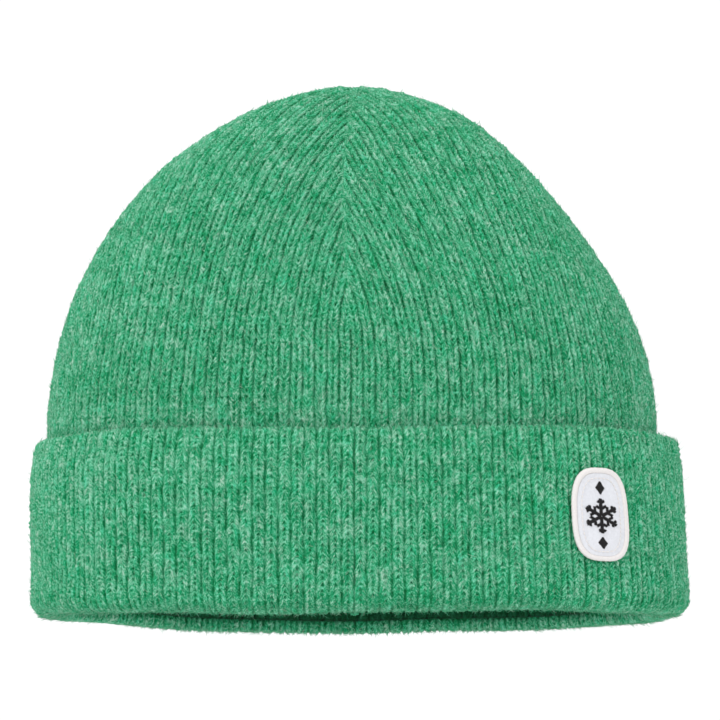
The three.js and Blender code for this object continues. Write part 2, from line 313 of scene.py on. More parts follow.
def stitches(rib, row):
    """Relief over the skin, how open to the light each point is, and the tint of its yarn.

    A whole rib, or wale, is a column of V stitches. It takes two of the half ribs that rib counts, one for
    each leg. Holes lie in the grooves between wales, and smaller clefts between the legs.
    """
    start = rib
    rib = rib + 0.07 * drift(WANDER, start, row, 2, 1.8)
    row = row + 0.20 * drift(LIFT, start, row, 2, 2.6)
    wale = rib / 2
    across = wale % 1.0 - 0.5
    size = np.clip(np.abs(across) * 2, 0, 1)
    crown = 0.6 * (1 - size ** 2.8) + 0.4 * (1 - np.abs(2 * size - 1) ** 2.2)

    groove = np.floor(wale + 0.5)
    phase = row + np.abs(wale - groove) / LEG_SLOPE
    strength = per_stitch(CHANCE[0], groove, phase) ** 1.8
    pulse = 0.5 + 0.5 * np.cos(2 * math.pi * (phase - 0.15))
    hole = np.exp(-((1 - size) / GROOVE_WIDTH) ** 2) * (0.20 + 0.80 * pulse ** 1.4) * (0.36 + 1.25 * strength)
    pulse = 0.5 + 0.5 * np.cos(2 * math.pi * (row - 0.55))
    strength = per_stitch(CHANCE[1], wale, row) ** 1.4
    cleft = np.exp(-(size / CLEFT_WIDTH) ** 2) * (0.14 + 0.86 * pulse ** 1.4) * (0.20 + 1.20 * strength)

    legs = np.zeros_like(across)
    for offset in (-1, 0, 1):
        along = row % 1.0 + offset
        middle = 0.10 + LEG_SLOPE * along
        reach = np.clip(1 - ((np.abs(across) - middle) / LEG_HALF_WIDTH) ** 2, 0, 1)
        envelope = np.clip(np.sin(math.pi * np.clip((along + 0.30) / 1.6, 0, 1)), 0, 1)
        legs = np.maximum(legs, np.sqrt(reach) * envelope ** 0.7)
    legs = legs * (1 + 0.50 * drift(LEG_SIZE, 2 * rib, row, 1, 1.0))

    relief = (0.28 * (crown - 0.6) + 0.56 * (legs - 0.3) - 0.52 * hole - 0.34 * cleft) * MM
    open_way = np.clip(0.32 + 0.14 * crown + 0.46 * legs - 0.74 * hole - 0.56 * cleft, 0.08, 1)
    tint = 0.5 + 0.14 * drift(LEG_TINT, 2 * rib, row, 1, 1.0) + 0.05 * drift(YARN_TINT, rib, row, 1, 3.0)
    tint = tint + 0.02 * drift(PATCH_TINT, rib, row, 8, 9)
    return relief, open_way, np.clip(tint, 0, 1)


def leg_lean(rib):
    """1 where the legs lean left as the rows rise, -1 where they lean right."""
    return np.where(rib % 2.0 < 1, 1, -1)


# ---- Mesh code ---------------------------------------------------------------------
class Build:
    """Collects points and faces of one mesh, with a map place for each corner."""

    def __init__(self):
        self.points = []
        self.values = {"open": [], "tint": [], "rib": [], "row": []}
        self.corners, self.sizes, self.places, self.smooth = [], [], [], []
        self.count = 0

    def add_points(self, points, open_way=1.0, tint=0.5, rib=0.0, row=0.0):
        first = self.count
        self.points.append(points)
        for name, value in (("open", open_way), ("tint", tint), ("rib", rib), ("row", row)):
            self.values[name].append(np.broadcast_to(value, len(points)))
        self.count += len(points)
        return first

    def add_faces(self, faces, places, smooth=True):
        """faces: (n, k) point numbers; places: (n, k, 2) places on the map."""
        if len(faces):
            self.smooth.append(np.full(len(faces), smooth))
            self.corners.append(np.asarray(faces).ravel())
            self.sizes.append(np.full(len(faces), np.shape(faces)[1]))
            self.places.append(np.asarray(places, float).reshape(-1, 2))

    def finish(self, name, material, body, replaced=()):
        points = np.concatenate(self.points)
        corners = np.concatenate(self.corners)
        sizes = np.concatenate(self.sizes)
        mesh = bpy.data.meshes.new(name)
        mesh.vertices.add(len(points))
        mesh.vertices.foreach_set("co", points.astype(np.float32).ravel())
        mesh.loops.add(len(corners))
        mesh.loops.foreach_set("vertex_index", corners.astype(np.int32))
        mesh.polygons.add(len(sizes))
        starts = np.concatenate([[0], np.cumsum(sizes)[:-1]])
        mesh.polygons.foreach_set("loop_start", starts.astype(np.int32))
        mesh.update(calc_edges=True)
        mesh.polygons.foreach_set("use_smooth", np.concatenate(self.smooth))
        for attribute, values in self.values.items():
            layer = mesh.attributes.new(attribute, "FLOAT", "POINT")
            layer.data.foreach_set("value", np.concatenate(values).astype(np.float32))
        layer = mesh.uv_layers.new(name="OFBake")
        layer.data.foreach_set("uv", np.concatenate(self.places).astype(np.float32).ravel())
        mesh.materials.append(material)
        piece = bpy.data.objects.new(name, mesh)
        bpy.context.scene.collection.objects.link(piece)
        if body:
            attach(piece, body)
        if replaced:
            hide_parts(*replaced)
        return piece


def add_tubes(build, paths, radii, sides, facing, tint=0.5, pointed=False):
    """Closed tubes. paths: (many, steps, 3), radii: (many, steps), facing: a direction no path follows."""
    many, steps = paths.shape[:2]
    ahead = unit(np.gradient(paths, axis=1))
    across = unit(np.cross(ahead, facing))
    up = np.cross(across, ahead)
    turn = 2 * math.pi * np.arange(sides) / sides
    rings = steps - 1 if pointed else steps
    offset = (np.cos(turn)[:, None] * across[:, :rings, None, :]
              + np.sin(turn)[:, None] * up[:, :rings, None, :])
    points = paths[:, :rings, None, :] + offset * radii[:, :rings, None, None]
    points = points.reshape(many, rings * sides, 3)
    if pointed:
        points = np.concatenate([points, paths[:, -1:, :]], axis=1)
    each = points.shape[1]
    first = build.add_points(points.reshape(-1, 3), tint=np.repeat(np.broadcast_to(tint, many), each))
    base = (first + np.arange(many) * each)[:, None, None]

    side_of, ring_of = np.meshgrid(np.arange(sides), np.arange(rings - 1))
    side_of, ring_of = side_of.ravel(), ring_of.ravel()
    beyond = (side_of + 1) % sides
    local = np.stack([ring_of * sides + side_of, (ring_of + 1) * sides + side_of,
                      (ring_of + 1) * sides + beyond, ring_of * sides + beyond], axis=1)
    local_places = np.stack([
        np.stack([side_of, side_of, side_of + 1, side_of + 1], axis=1) / sides,
        np.stack([ring_of, ring_of + 1, ring_of + 1, ring_of], axis=1) / steps], axis=-1)

    grid = math.ceil(math.sqrt(many))
    cell = np.stack([np.arange(many) % grid, np.arange(many) // grid], axis=-1)[:, None, None, :]

    def add(local_faces, spots):
        faces = (base + local_faces[None]).reshape(-1, local_faces.shape[1])
        places = (cell + 0.1 + 0.8 * spots[None]) / grid
        build.add_faces(faces, places)

    add(local, local_places)
    start = np.arange(sides)[None]
    add(start, np.stack([np.cos(turn), np.sin(turn)], axis=-1)[None] * 0.05 + 0.05)
    last = (rings - 1) * sides
    if pointed:
        ring = np.arange(sides)
        beyond = (ring + 1) % sides
        tips = np.stack([last + ring, np.full(sides, rings * sides), last + beyond], axis=1)
        spots = np.stack([
            np.stack([ring, ring + 0.5, ring + 1], axis=1) / sides,
            np.broadcast_to(np.array([rings - 1, rings, rings - 1]) / steps, (sides, 3))], axis=-1)
        add(tips, spots)
    else:
        add(last + start[:, ::-1], np.stack([np.cos(turn), np.sin(turn)], axis=-1)[None] * 0.05 + 0.9)


def zip_chains(first, second, first_at, second_at):
    """Triangles between two chains of point numbers, each with its rising places."""
    triangles = []
    i = j = 0
    while i < len(first) - 1 or j < len(second) - 1:
        step_first = j == len(second) - 1 or (i < len(first) - 1 and first_at[i + 1] <= second_at[j + 1])
        if step_first:
            triangles.append((first[i], second[j], first[i + 1]))
            i += 1
        else:
            triangles.append((first[i], second[j], second[j + 1]))
            j += 1
    return triangles


def add_columns(build, columns, place_of, flip):
    """Faces between neighbouring columns, each a pair of point numbers and places. Returns quads."""
    quads, triangles = [], []
    for (left, left_at), (right, right_at) in zip(columns[:-1], columns[1:]):
        shared = max(min(len(left), len(right)) - 2, 0)
        if len(left) == len(right):
            shared = len(left) - 1
        if shared:
            quads.append(np.stack(
                [left[:shared], right[:shared], right[1:shared + 1], left[1:shared + 1]], axis=1))
        triangles.extend(zip_chains(left[shared:], right[shared:], left_at[shared:], right_at[shared:]))
    quads = np.concatenate(quads)
    faces = quads[:, ::-1] if flip else quads
    build.add_faces(faces, place_of(faces))
    if triangles:
        triangles = np.array(triangles)
        triangles = triangles[:, ::-1] if flip else triangles
        build.add_faces(triangles, place_of(triangles))
    return quads


def close_edges(build, outer, inner):
    """Joins the two faces of a panel all round."""
    def edge(first, second, flip):
        triangles = zip_chains(first, second, np.linspace(0, 1, len(first)), np.linspace(0, 1, len(second)))
        if not triangles:
            return
        triangles = np.array(triangles)
        triangles = triangles[:, ::-1] if flip else triangles
        spots = np.zeros((len(triangles), 3, 2))
        spots[:, :, 0] = np.linspace(0.01, 0.99, len(triangles))[:, None] + np.array([0, 0.001, 0])
        spots[:, :, 1] = 0.99 + np.array([0, 0, 0.004])
        build.add_faces(triangles, spots, smooth=False)

    def ends(columns, which):
        return np.array([numbers[which] for numbers, _ in columns])

    edge(ends(outer, 0), ends(inner, 0), False)
    edge(ends(outer, -1), ends(inner, -1), True)
    edge(outer[0][0], inner[0][0], True)
    edge(outer[-1][0], inner[-1][0], False)


def add_grid(build, number, place, flip, shift):
    """Faces of a grid of point numbers, whose places on the map move right by shift."""
    quads = np.stack([number[:-1, :-1], number[:-1, 1:], number[1:, 1:], number[1:, :-1]], axis=-1)
    quads = quads.reshape(-1, 4)
    quads = quads[:, ::-1] if flip else quads
    build.add_faces(quads, place[quads - number[0, 0]] + np.array([shift, 0]))


def add_rim(build, upper, lower):
    """Joins two grids of point numbers all round."""
    def around(number):
        return np.concatenate([number[0, :-1], number[:-1, -1], number[-1, :0:-1], number[:0:-1, 0]])

    high, low = around(upper), around(lower)
    rim = np.stack([low, np.roll(low, -1), np.roll(high, -1), high], axis=1)
    spots = np.zeros((len(rim), 4, 2))
    spots[:, :, 0] = (np.arange(len(rim))[:, None] + np.array([0, 1, 1, 0])) / len(rim) * 0.98
    spots[:, :, 1] = 0.985 + np.array([0, 0, 0.01, 0.01])
    build.add_faces(rim, spots, smooth=False)


# ---- Fabric panels: columns of points that follow the ribs ---------------------------
def section_left(lost):
    """Scale of the section against the darts' start, where a share of the ribs is lost."""
    return (1 - lost) * (1 + CROWN_SPREAD * smooth(lost, 0, 0.5))


def lost_share(left):
    lost = np.linspace(0, 1, 2001)
    return np.interp(-np.asarray(left), -section_left(lost), lost)


def lost_at_start(from_middle):
    """Share of a quarter's lost ribs that end at the dart where the quarter starts."""
    return FRONT_DART_SHARE if from_middle else 1 - FRONT_DART_SHARE


def gore_paths(ribs, from_middle, samples):
    """For each rib, its share of the quarter and its level along the way from the darts' start to its end."""
    end_scale = (CROWN_HOLE_RADIUS - 0.6 * MM) / HALF_DEPTH
    first_share = lost_at_start(from_middle)
    place = ribs / QUARTER_RIBS
    lost = np.minimum(place / first_share, (1 - place) / (1 - first_share))
    lost = np.minimum(lost, lost_share(end_scale / DART_SCALE))
    way = np.linspace(0, 1, samples)[None, :] * lost[:, None]
    scale = DART_SCALE * section_left(way)
    level = DOME_START + np.arccos(np.clip(scale, 0, 1) ** (DOME_POWER / 2))
    share = (place[:, None] - first_share * way) / np.maximum(1 - way, 1e-9)
    return np.clip(share, 0, 1), level


def take(values, places):
    low = np.clip(np.floor(places).astype(int), 0, len(values) - 2)
    share = places - low
    return values[low] * (1 - share) + values[low + 1] * share


def gore_columns(ribs, quarter, steps_per_row):
    """For each rib: angles, levels and rows of evenly spaced points along it."""
    start, from_middle = QUARTERS[quarter]
    share, level = gore_paths(ribs, from_middle, 60)
    angle = quarter_angle(share, start, from_middle)
    lengths = np.cumsum(np.linalg.norm(np.diff(surface(angle, level), axis=1), axis=2), axis=1)
    lengths = np.concatenate([np.zeros((len(ribs), 1)), lengths], axis=1)
    step = ROW_HEIGHT / steps_per_row
    for index, length in enumerate(lengths):
        marks = np.arange(0, max(length[-1] - 0.35 * step, 0), step)
        marks = np.append(marks, length[-1]) if length[-1] > 0.02 * step else np.array([0.0])
        places = np.interp(marks, length, np.arange(len(length)))
        yield take(angle[index], places), take(level[index], places), WALL_ROWS + marks / ROW_HEIGHT


def wall_columns(ribs, quarter, steps_per_row):
    """The same for the wall, whose hidden rows are coarser."""
    start, from_middle = QUARTERS[quarter]
    hidden = np.arange(0, HIDDEN_ROWS, min(2 / steps_per_row, 1))
    shown = np.arange(HIDDEN_ROWS, WALL_ROWS, 1 / steps_per_row)
    rows = np.concatenate([hidden, shown, [WALL_ROWS]])
    level = level_of_height(WALL_LOW.z + (DART_START - WALL_LOW.z) * rows / WALL_ROWS)
    for angle in quarter_angle(ribs / QUARTER_RIBS, start, from_middle):
        yield np.full(len(rows), angle), level, rows


def dart_crease(rib, level, from_middle):
    """How far the fabric turns in along a dart seam, 0 to 1, and the distance from the nearer seam."""
    scale = outline(level)[0] / DART_SCALE
    first_share = lost_at_start(from_middle)
    pitch = QUARTER_LENGTH / QUARTER_RIBS
    lost = lost_share(scale)
    from_first = (rib - first_share * lost * QUARTER_RIBS) * pitch
    from_last = ((1 - (1 - first_share) * lost) * QUARTER_RIBS - rib) * pitch
    growing = np.clip((1 - scale) / 0.15, 0, 1) * smooth(scale, 0.08, 0.30)
    near = np.exp(-(from_first / CREASE_WIDTH) ** 2) + np.exp(-(from_last / CREASE_WIDTH) ** 2)
    return np.minimum(near, 1) * growing, np.minimum(from_first, from_last)


def fabric_side(build, quarter, kind, inside, map_band):
    """One face of a panel of wall or crown, at a bottom and height on the map.

    Returns its columns of point numbers and its quads.
    """
    from_middle = QUARTERS[quarter][1]
    rib_steps, row_steps = (4, 1) if inside else (RIB_STEPS, ROW_STEPS)
    ribs = np.linspace(0, QUARTER_RIBS, QUARTER_RIBS * rib_steps + 1)
    make = gore_columns if kind == "gore" else wall_columns
    angles, levels, rows, columns = [], [], [], []
    count = build.count
    for angle, level, row in make(ribs, quarter, row_steps):
        angles.append(angle)
        levels.append(level)
        rows.append(row)
        columns.append((np.arange(count, count + len(row)), row))
        count += len(row)
    rib_places = np.repeat(ribs, [len(row) for row in rows])
    angles, levels, rows = np.concatenate(angles), np.concatenate(levels), np.concatenate(rows)
    rib_number = rib_places + list(QUARTERS).index(quarter) * QUARTER_RIBS + (0.5 if inside else 0)
    relief, open_way, tint = stitches(rib_number, rows)
    crease = 0
    if kind == "gore":
        turned, distance = dart_crease(rib_places, levels, from_middle)
        crease = CREASE_DEPTH * turned
        meeting = smooth(distance, 0, MEETING_WIDTH)
        relief = relief * meeting
        open_way = MEETING_OPEN + (open_way - MEETING_OPEN) * meeting
    if inside:
        outward = -KNIT - relief + crease * 0.5
        shaded = smooth(levels, 0.2 * MM, 3.4 * MM) * (1 - DEEP_LIGHT * smooth(levels, 12 * MM, 45 * MM))
        open_way = open_way * INSIDE_OPEN * (1 - SLOT_SHADE * shaded)
    else:
        outward = relief - crease
        open_way = open_way - crease / MM * CREASE_SHADE
        # painted light: the wall and the crown's lower part are made more open to the light and lighter in
        # tint
        low = 1 - smooth(levels, 95 * MM, 145 * MM)
        open_way, tint = open_way + LOWER_PAINTED_LIGHT * low, tint + LOWER_PAINTED_LIGHT_TINT * low
    skin = surface(angles, levels) + normals(angles, levels) * outward[:, None]
    build.add_points(slouch(skin), np.clip(open_way, 0, 1), tint, rib_number, rows)
    bottom, height = map_band
    up_map = bottom + height * (rows - rows.min()) / (rows.max() - rows.min())
    place = np.stack([rib_places / QUARTER_RIBS, up_map], axis=1)
    first_number = columns[0][0][0]
    quads = add_columns(build, columns, lambda numbers: place[numbers - first_number], inside)
    return columns, quads


def panel(name, make_side, quarter, shapes, material, body, replaced):
    """A closed panel of knit, whose shapes are those of its outer and inner face.

    Returns its outer quads: their corners, how open they are and how their stitches' legs lean.
    """
    build = Build()
    outer, quads = make_side(build, quarter, shapes[0], False, (0, 0.6))
    inner, _ = make_side(build, quarter, shapes[1], True, (0.62, 0.35))
    close_edges(build, outer, inner)
    build.finish(name, material, body, replaced)
    rib, open_way = (np.concatenate(build.values[value])[quads[:, 0]] for value in ("rib", "open"))
    return np.concatenate(build.points)[quads], open_way, leg_lean(rib)


# ---- Cuff ----------------------------------------------------------------------------
def arc(centre, radius, start, end, count):
    angle = np.radians(np.linspace(start, end, count))
    return [(centre[0] + radius * math.cos(a), centre[1] + radius * math.sin(a)) for a in angle]


def cuff_profile():
    """Outward distances and heights along the cuff's two faces: the shown one, from inside the rim round the
    fold and over the top edge, and the one against the wall.
    """
    half = (CUFF_TOP_OUTSIDE - CUFF_INSIDE) / 2
    outer, inner = FOLD_OUTER_RADIUS, FOLD_INNER_RADIUS
    outside = [(-KNIT, FOLD_THICKNESS + 0.2 * MM)]
    outside += arc((-KNIT + inner, inner), inner, 180, 270, 8)
    outside += arc((CUFF_BOTTOM_OUTSIDE - outer, outer), outer, 270, 360, 14)
    outside += [(CUFF_TOP_OUTSIDE, CUFF_HEIGHT - half)]
    outside += arc((CUFF_INSIDE + half, CUFF_HEIGHT - half), half, 0, 180, 12)[1:]
    inside = [(-KNIT + 0.4 * MM, FOLD_THICKNESS + 0.2 * MM), (CUFF_INSIDE, FOLD_THICKNESS),
              (CUFF_INSIDE, CUFF_HEIGHT - half)]
    return np.array(outside), np.array(inside)


def along_profile(profile, step):
    length = run_length(profile)
    count = max(int(round(length[-1] / step)), 2)
    marks = np.linspace(0, length[-1], count + 1)
    return np.stack([np.interp(marks, length, side) for side in profile.T], axis=1), marks


def patch_size(right, up):
    """1 on the patch's outline, 0 in its middle, at shares of its half width and half height."""
    return (np.abs(right) ** PATCH_POWER + np.abs(up) ** PATCH_POWER) ** (1 / PATCH_POWER)


def patch_pressure(angle, level):
    """1 under the patch, 0 a little beyond its edge."""
    right = (angle - PATCH_ANGLE) * patch_speed() / (PATCH_HALF_WIDTH + PATCH_BORDER)
    up = (level - PATCH_MIDDLE) / (PATCH_HALF_HEIGHT + PATCH_BORDER)
    return 1 - smooth(patch_size(right, up), 0.92, 1.06)


def cuff_side(build, quarter, profile, inside, map_band):
    """The same for a face of the cuff, which follows its profile."""
    start, from_middle = QUARTERS[quarter]
    rib_steps, row_steps = (2, 1) if inside else (RIB_STEPS, ROW_STEPS)
    ribs = np.linspace(0, QUARTER_RIBS, QUARTER_RIBS * rib_steps + 1)
    spots, marks = along_profile(profile, CUFF_ROW_HEIGHT / row_steps)
    angle = quarter_angle(ribs / QUARTER_RIBS, start, from_middle)
    angles = np.repeat(angle, len(spots))
    levels = np.tile(spots[:, 1], len(ribs))
    outward = np.tile(spots[:, 0], len(ribs))
    slope = np.gradient(spots, axis=0)
    facing = np.tile(unit(np.stack([slope[:, 1], -slope[:, 0]], axis=1)), (len(ribs), 1))
    rib_places = np.repeat(ribs, len(spots))
    rows = np.tile(marks, len(ribs)) / CUFF_ROW_HEIGHT
    rib_number = rib_places + list(QUARTERS).index(quarter) * QUARTER_RIBS
    relief, open_way, tint = stitches(rib_number, CUFF_TOP_ROW - rows)
    if inside:
        relief, open_way = -relief * 0.5, open_way * INSIDE_OPEN
    else:
        pressure = patch_pressure(angles, levels)
        relief = relief * (1 - 0.6 * pressure) - 0.25 * MM * pressure
        relief = relief * (0.60 + 0.40 * smooth(levels, 0, 7 * MM))
        lip = (1 - smooth(levels, 0.1 * MM, 1.2 * MM)) * smooth(outward, 2 * MM, 6 * MM)
        low = smooth(levels, 0.6 * MM, 2 * MM) * (1 - smooth(levels, 3 * MM, 9 * MM))
        low = low * smooth(outward, 5 * MM, 8 * MM)
        tint = tint + LIP_TINT * lip + LOW_TINT * low
        hem = (1 - smooth(outward, -3.2 * MM, -1.0 * MM)) * smooth(levels, 1.6 * MM, 4.6 * MM)
        open_way = (open_way + 0.05 + 0.05 * low) * (1 - HEM_SHADE * hem)
    out = facing * relief[:, None]
    normal = normals(angles, np.zeros_like(angles))
    points = surface(angles, np.zeros_like(angles)) + normal * (outward + out[:, 0])[:, None]
    points[:, 2] = levels + out[:, 1]
    first = build.add_points(cuff_sag(points), open_way, tint, rib_number, CUFF_TOP_ROW - rows)
    numbers = first + np.arange(len(points)).reshape(len(ribs), len(spots))
    columns = [(column, marks) for column in numbers]
    bottom, height = map_band
    place = np.stack([rib_places / QUARTER_RIBS, bottom + height * rows / rows.max()], axis=1)
    quads = add_columns(build, columns, lambda chosen: place[chosen - first], inside)
    return columns, quads


# ---- Loose fibres of the brushed wool ---------------------------------------------------
def add_fibres(build, corners, lean, count, length, lift, generator):
    """Curly pointed fibres rooted on faces with corners (n, 4, 3). Most lie along the stitches' legs."""
    numbers = generator.integers(len(corners), size=count)
    chosen = corners[numbers]
    along, across = generator.random((2, count, 1))
    low = chosen[:, 0] * (1 - across) + chosen[:, 1] * across
    high = chosen[:, 3] * (1 - across) + chosen[:, 2] * across
    root = low * (1 - along) + high * along
    right = unit(chosen[:, 1] - chosen[:, 0])
    up = unit(chosen[:, 3] - chosen[:, 0])
    out = unit(np.cross(right, up))
    up = np.cross(out, right)

    reach = length * np.exp(generator.normal(0, 0.35, count))
    side = lean[numbers] * generator.choice([-1, 1], count, p=[0.2, 0.8])
    heading = math.pi / 2 + side * generator.normal(math.radians(28), math.radians(20), count)
    bend = generator.normal(0, 0.9, count)
    height = lift * np.exp(generator.normal(0, 0.45, count))
    fall = generator.uniform(0.3, 1.0, count)
    steps = np.arange(FIBRE_STEPS + 1) / FIBRE_STEPS
    headings = heading[:, None] + bend[:, None] * (steps - 0.5)
    walk = np.stack([np.cos(headings), np.sin(headings)], axis=-1) * (reach / FIBRE_STEPS)[:, None, None]
    walk = np.cumsum(walk, axis=1) - walk[:, :1]
    rise = height[:, None] * (2.2 * steps - 2.2 * fall[:, None] * steps ** 2) - 0.12 * MM
    paths = (root[:, None] + walk[..., :1] * right[:, None] + walk[..., 1:] * up[:, None]
             + rise[..., None] * out[:, None])
    radii = FIBRE_THICKNESS * np.exp(generator.normal(0, 0.2, count))[:, None] * (1 - 0.45 * steps)
    add_tubes(build, paths, radii, 3, out[:, None], generator.random(count), pointed=True)


def fuzz(name, corners, lean, parts, material, body, seed):
    """parts: (which faces, count, length, lift) for each area."""
    build = Build()
    generator = np.random.default_rng(seed)
    for chosen, count, length, lift in parts:
        add_fibres(build, corners[chosen], lean[chosen], count, length, lift, generator)
    build.finish(name, material, body)


def uncovered(corners):
    """Faces of the cuff that the patch doesn't cover."""
    around = np.arctan2(corners[:, 0, 1], corners[:, 0, 0] - 1 * MM)
    return patch_pressure(around, corners[:, 0, 2]) < 0.3


def make_quarter(quarter, seed, wool, fibres):
    """A quarter of the wall, crown and cuff, with the fibres on each."""
    wall, wall_open, wall_lean = panel(
        "knit_wall_" + quarter, fabric_side, quarter, ("wall", "wall"), wool, "crown", ("body_wall",))
    gore, gore_open, gore_lean = panel(
        "knit_gore_" + quarter, fabric_side, quarter, ("gore", "gore"), wool, "crown", ("gore_" + quarter,))
    cuff, cuff_open, cuff_lean = panel(
        "knit_cuff_" + quarter, cuff_side, quarter, cuff_profile(), wool, "cuff",
        ("cuff_turn_up", "cuff_cast_on_edge"))
    shown = wall[:, 0, 2] > COVERED_HEIGHT
    rooted = wall_open > FIBRE_ROOTS_OPEN
    fuzz("fuzz_wall_" + quarter, wall, wall_lean, [
        (shown & rooted, *WALL_FIBRES), (~shown & rooted, *COVERED_FIBRES)], fibres, "crown", 100 + seed)
    fuzz("fuzz_gore_" + quarter, gore, gore_lean, [
        (gore_open > FIBRE_ROOTS_OPEN, *GORE_FIBRES)], fibres, "crown", 200 + seed)
    bare = uncovered(cuff)
    height = cuff[:, 0, 2]
    fuzz("fuzz_cuff_" + quarter, cuff, -cuff_lean, [
        (bare & (cuff_open > FIBRE_ROOTS_OPEN), *CUFF_FIBRES),
        (bare & (height < 2.0 * MM), *RIM_FIBRES),
        (height > CUFF_HEIGHT - 1.5 * MM, *TOP_FIBRES)], fibres, "cuff", 300 + seed)


# ---- Patch -----------------------------------------------------------------------------
def patch_speed():
    step = 1e-5
    ends = surface(np.array([PATCH_ANGLE + step, PATCH_ANGLE - step]), np.zeros(2))
    return np.linalg.norm(ends[0] - ends[1]) / (2 * step)


def patch_facing():
    return normals(np.array(PATCH_ANGLE), np.array(0.0))


def patch_point(right, up, outward):
    """Right and up across the patch from its middle, outward from the cuff: the CAD model's own mapping."""
    right, up, outward = np.broadcast_arrays(right, up, outward)
    angle = PATCH_ANGLE + right / patch_speed()
    level = PATCH_MIDDLE + up
    down = (CUFF_HEIGHT - level) / (CUFF_HEIGHT - FOLD_OUTER_RADIUS)
    cuff = CUFF_TOP_OUTSIDE * (1 - down) + CUFF_BOTTOM_OUTSIDE * down
    level_zero = np.zeros_like(angle)
    points = surface(angle, level_zero) + normals(angle, level_zero) * (cuff + outward)[..., None]
    points[..., 2] = level
    return cuff_sag(points)


def patch_outline(angle, margin):
    reach = 1 / patch_size(np.cos(angle), np.sin(angle))
    return ((PATCH_HALF_WIDTH + margin) * reach * np.cos(angle),
            (PATCH_HALF_HEIGHT + margin) * reach * np.sin(angle))


def even_outline(margin, count):
    """Angles that divide the patch's outline into equal lengths."""
    angle = np.linspace(0, 2 * math.pi, 4001)
    length = run_length(np.stack(patch_outline(angle, margin), axis=1))
    return np.interp(np.arange(count) / count * length[-1], length, angle)


def patch_sheet(name, bottom, top, relief, steps, material, slot, replaced):
    """A closed sheet in the patch's outline, whose upper face has relief(right, up)."""
    across, along = np.meshgrid(np.linspace(-1, 1, steps[0]), np.linspace(-1, 1, steps[1]))
    size = np.maximum(np.abs(across), np.abs(along))
    reach = patch_size(across, along)
    pull = np.where(reach > 0, size / np.maximum(reach, 1e-9), 1)
    right, up = across * pull * PATCH_HALF_WIDTH, along * pull * PATCH_HALF_HEIGHT
    edge = 1 - smooth(size, 0.97, 1.0)
    place = np.stack([(across.ravel() + 1) / 4.1, (along.ravel() + 1) / 2.05], axis=1)
    build = Build()
    grids = []
    for outward, flip, shift in ((top + relief(right, up) * edge, False, 0), (bottom, True, 0.5)):
        first = build.add_points(patch_point(right, up, outward).reshape(-1, 3),
                                 rib=right.ravel() / MM, row=up.ravel() / MM)
        grids.append(first + np.arange(right.size).reshape(right.shape))
        add_grid(build, grids[-1], place, flip, shift)
    add_rim(build, *grids)
    build.finish(name, material, "cuff", replaced)


def twill(right, up):
    """Fine slanted ribs, crossed by the weft."""
    ribs = np.sin(2 * math.pi * (right + 0.6 * up) / (0.62 * MM))
    weft = np.sin(2 * math.pi * up / (0.40 * MM))
    return (0.045 * ribs + 0.02 * weft * (ribs > 0)) * MM


def felt_relief(right, up):
    return 0.05 * MM * np.sin(right / MM * 5.1 + 1) * np.sin(up / MM * 4.3)


def patch_border(material):
    """Thread wound closely over the patch's edge, with a slant."""
    wraps, per_wrap, sides = 190, 6, 16
    margin, half_width, bottom, top = 0.9 * MM, 0.98 * MM, 0.3 * MM, 2.0 * MM
    angle = even_outline(margin, wraps * per_wrap)
    section = 2 * math.pi * np.arange(sides) / sides
    place, turn = np.meshgrid(np.arange(wraps * per_wrap) / per_wrap, section, indexing="ij")
    angles = np.repeat(angle[:, None], sides, axis=1)
    slant = 0.5 * np.cos(turn)
    groove = np.abs(np.sin(math.pi * (place + slant))) ** 0.7
    uneven = 1 + 0.05 * np.sin(place * 0.37 + 1) * np.sin(place * 1.91)
    size = (0.86 + 0.14 * groove) * uneven
    sharp = np.sign(np.cos(turn)) * np.abs(np.cos(turn)) ** 0.8
    right, up = patch_outline(angles, margin + half_width * size * sharp)
    middle, half = (bottom + top) / 2, (top - bottom) / 2
    points = patch_point(right, up, middle + half * size * np.sin(turn))
    build = Build()
    build.add_points(points.reshape(-1, 3), open_way=(0.3 + 0.7 * groove).ravel(), rib=0.0, row=place.ravel())
    number = np.arange(points.shape[0] * sides).reshape(-1, sides)
    ahead, beyond = np.roll(number, -1, axis=0), np.roll(number, -1, axis=1)
    quads = np.stack([number, ahead, np.roll(ahead, -1, axis=1), beyond], axis=-1).reshape(-1, 4)
    steps = wraps * per_wrap
    ring, side = np.meshgrid(np.arange(steps), np.arange(sides), indexing="ij")
    rows = ring // (steps // 4)
    across = (ring % (steps // 4)) / (steps / 4 + 1)
    spot = np.stack([across, (rows + 0.9 * side / sides) / 4.1], axis=-1)
    spots = np.stack([
        spot, spot + [1 / (steps / 4 + 1), 0],
        spot + [1 / (steps / 4 + 1), 0.9 / sides / 4.1], spot + [0, 0.9 / sides / 4.1]], axis=2)
    build.add_faces(quads, spots.reshape(-1, 4, 2))
    build.finish("patch_overlocked_border", material, "cuff", ("patch_border",))


def patch_sewing(material):
    """A round of short stitches that dip into the twill."""
    count, steps = 46, 7
    angle = np.append(even_outline(-SEWING_INSET, count * 8), 2 * math.pi)
    places = np.arange(count)[:, None] * 8 + np.linspace(0.6, 6.6, steps)
    angles = np.interp(places, np.arange(count * 8 + 1), angle)
    right, up = patch_outline(angles, -SEWING_INSET)
    rise = np.sin(np.linspace(0, math.pi, steps)) ** 0.6
    height = (1.42 + 0.32 * rise) * MM
    paths = patch_point(right, up, np.broadcast_to(height, right.shape))
    build = Build()
    radii = np.broadcast_to((0.14 + 0.09 * rise) * MM, (count, steps))
    add_tubes(build, paths, radii, 8, patch_facing())
    build.finish("patch_lockstitches", material, "cuff", ("patch_sewing_thread",))


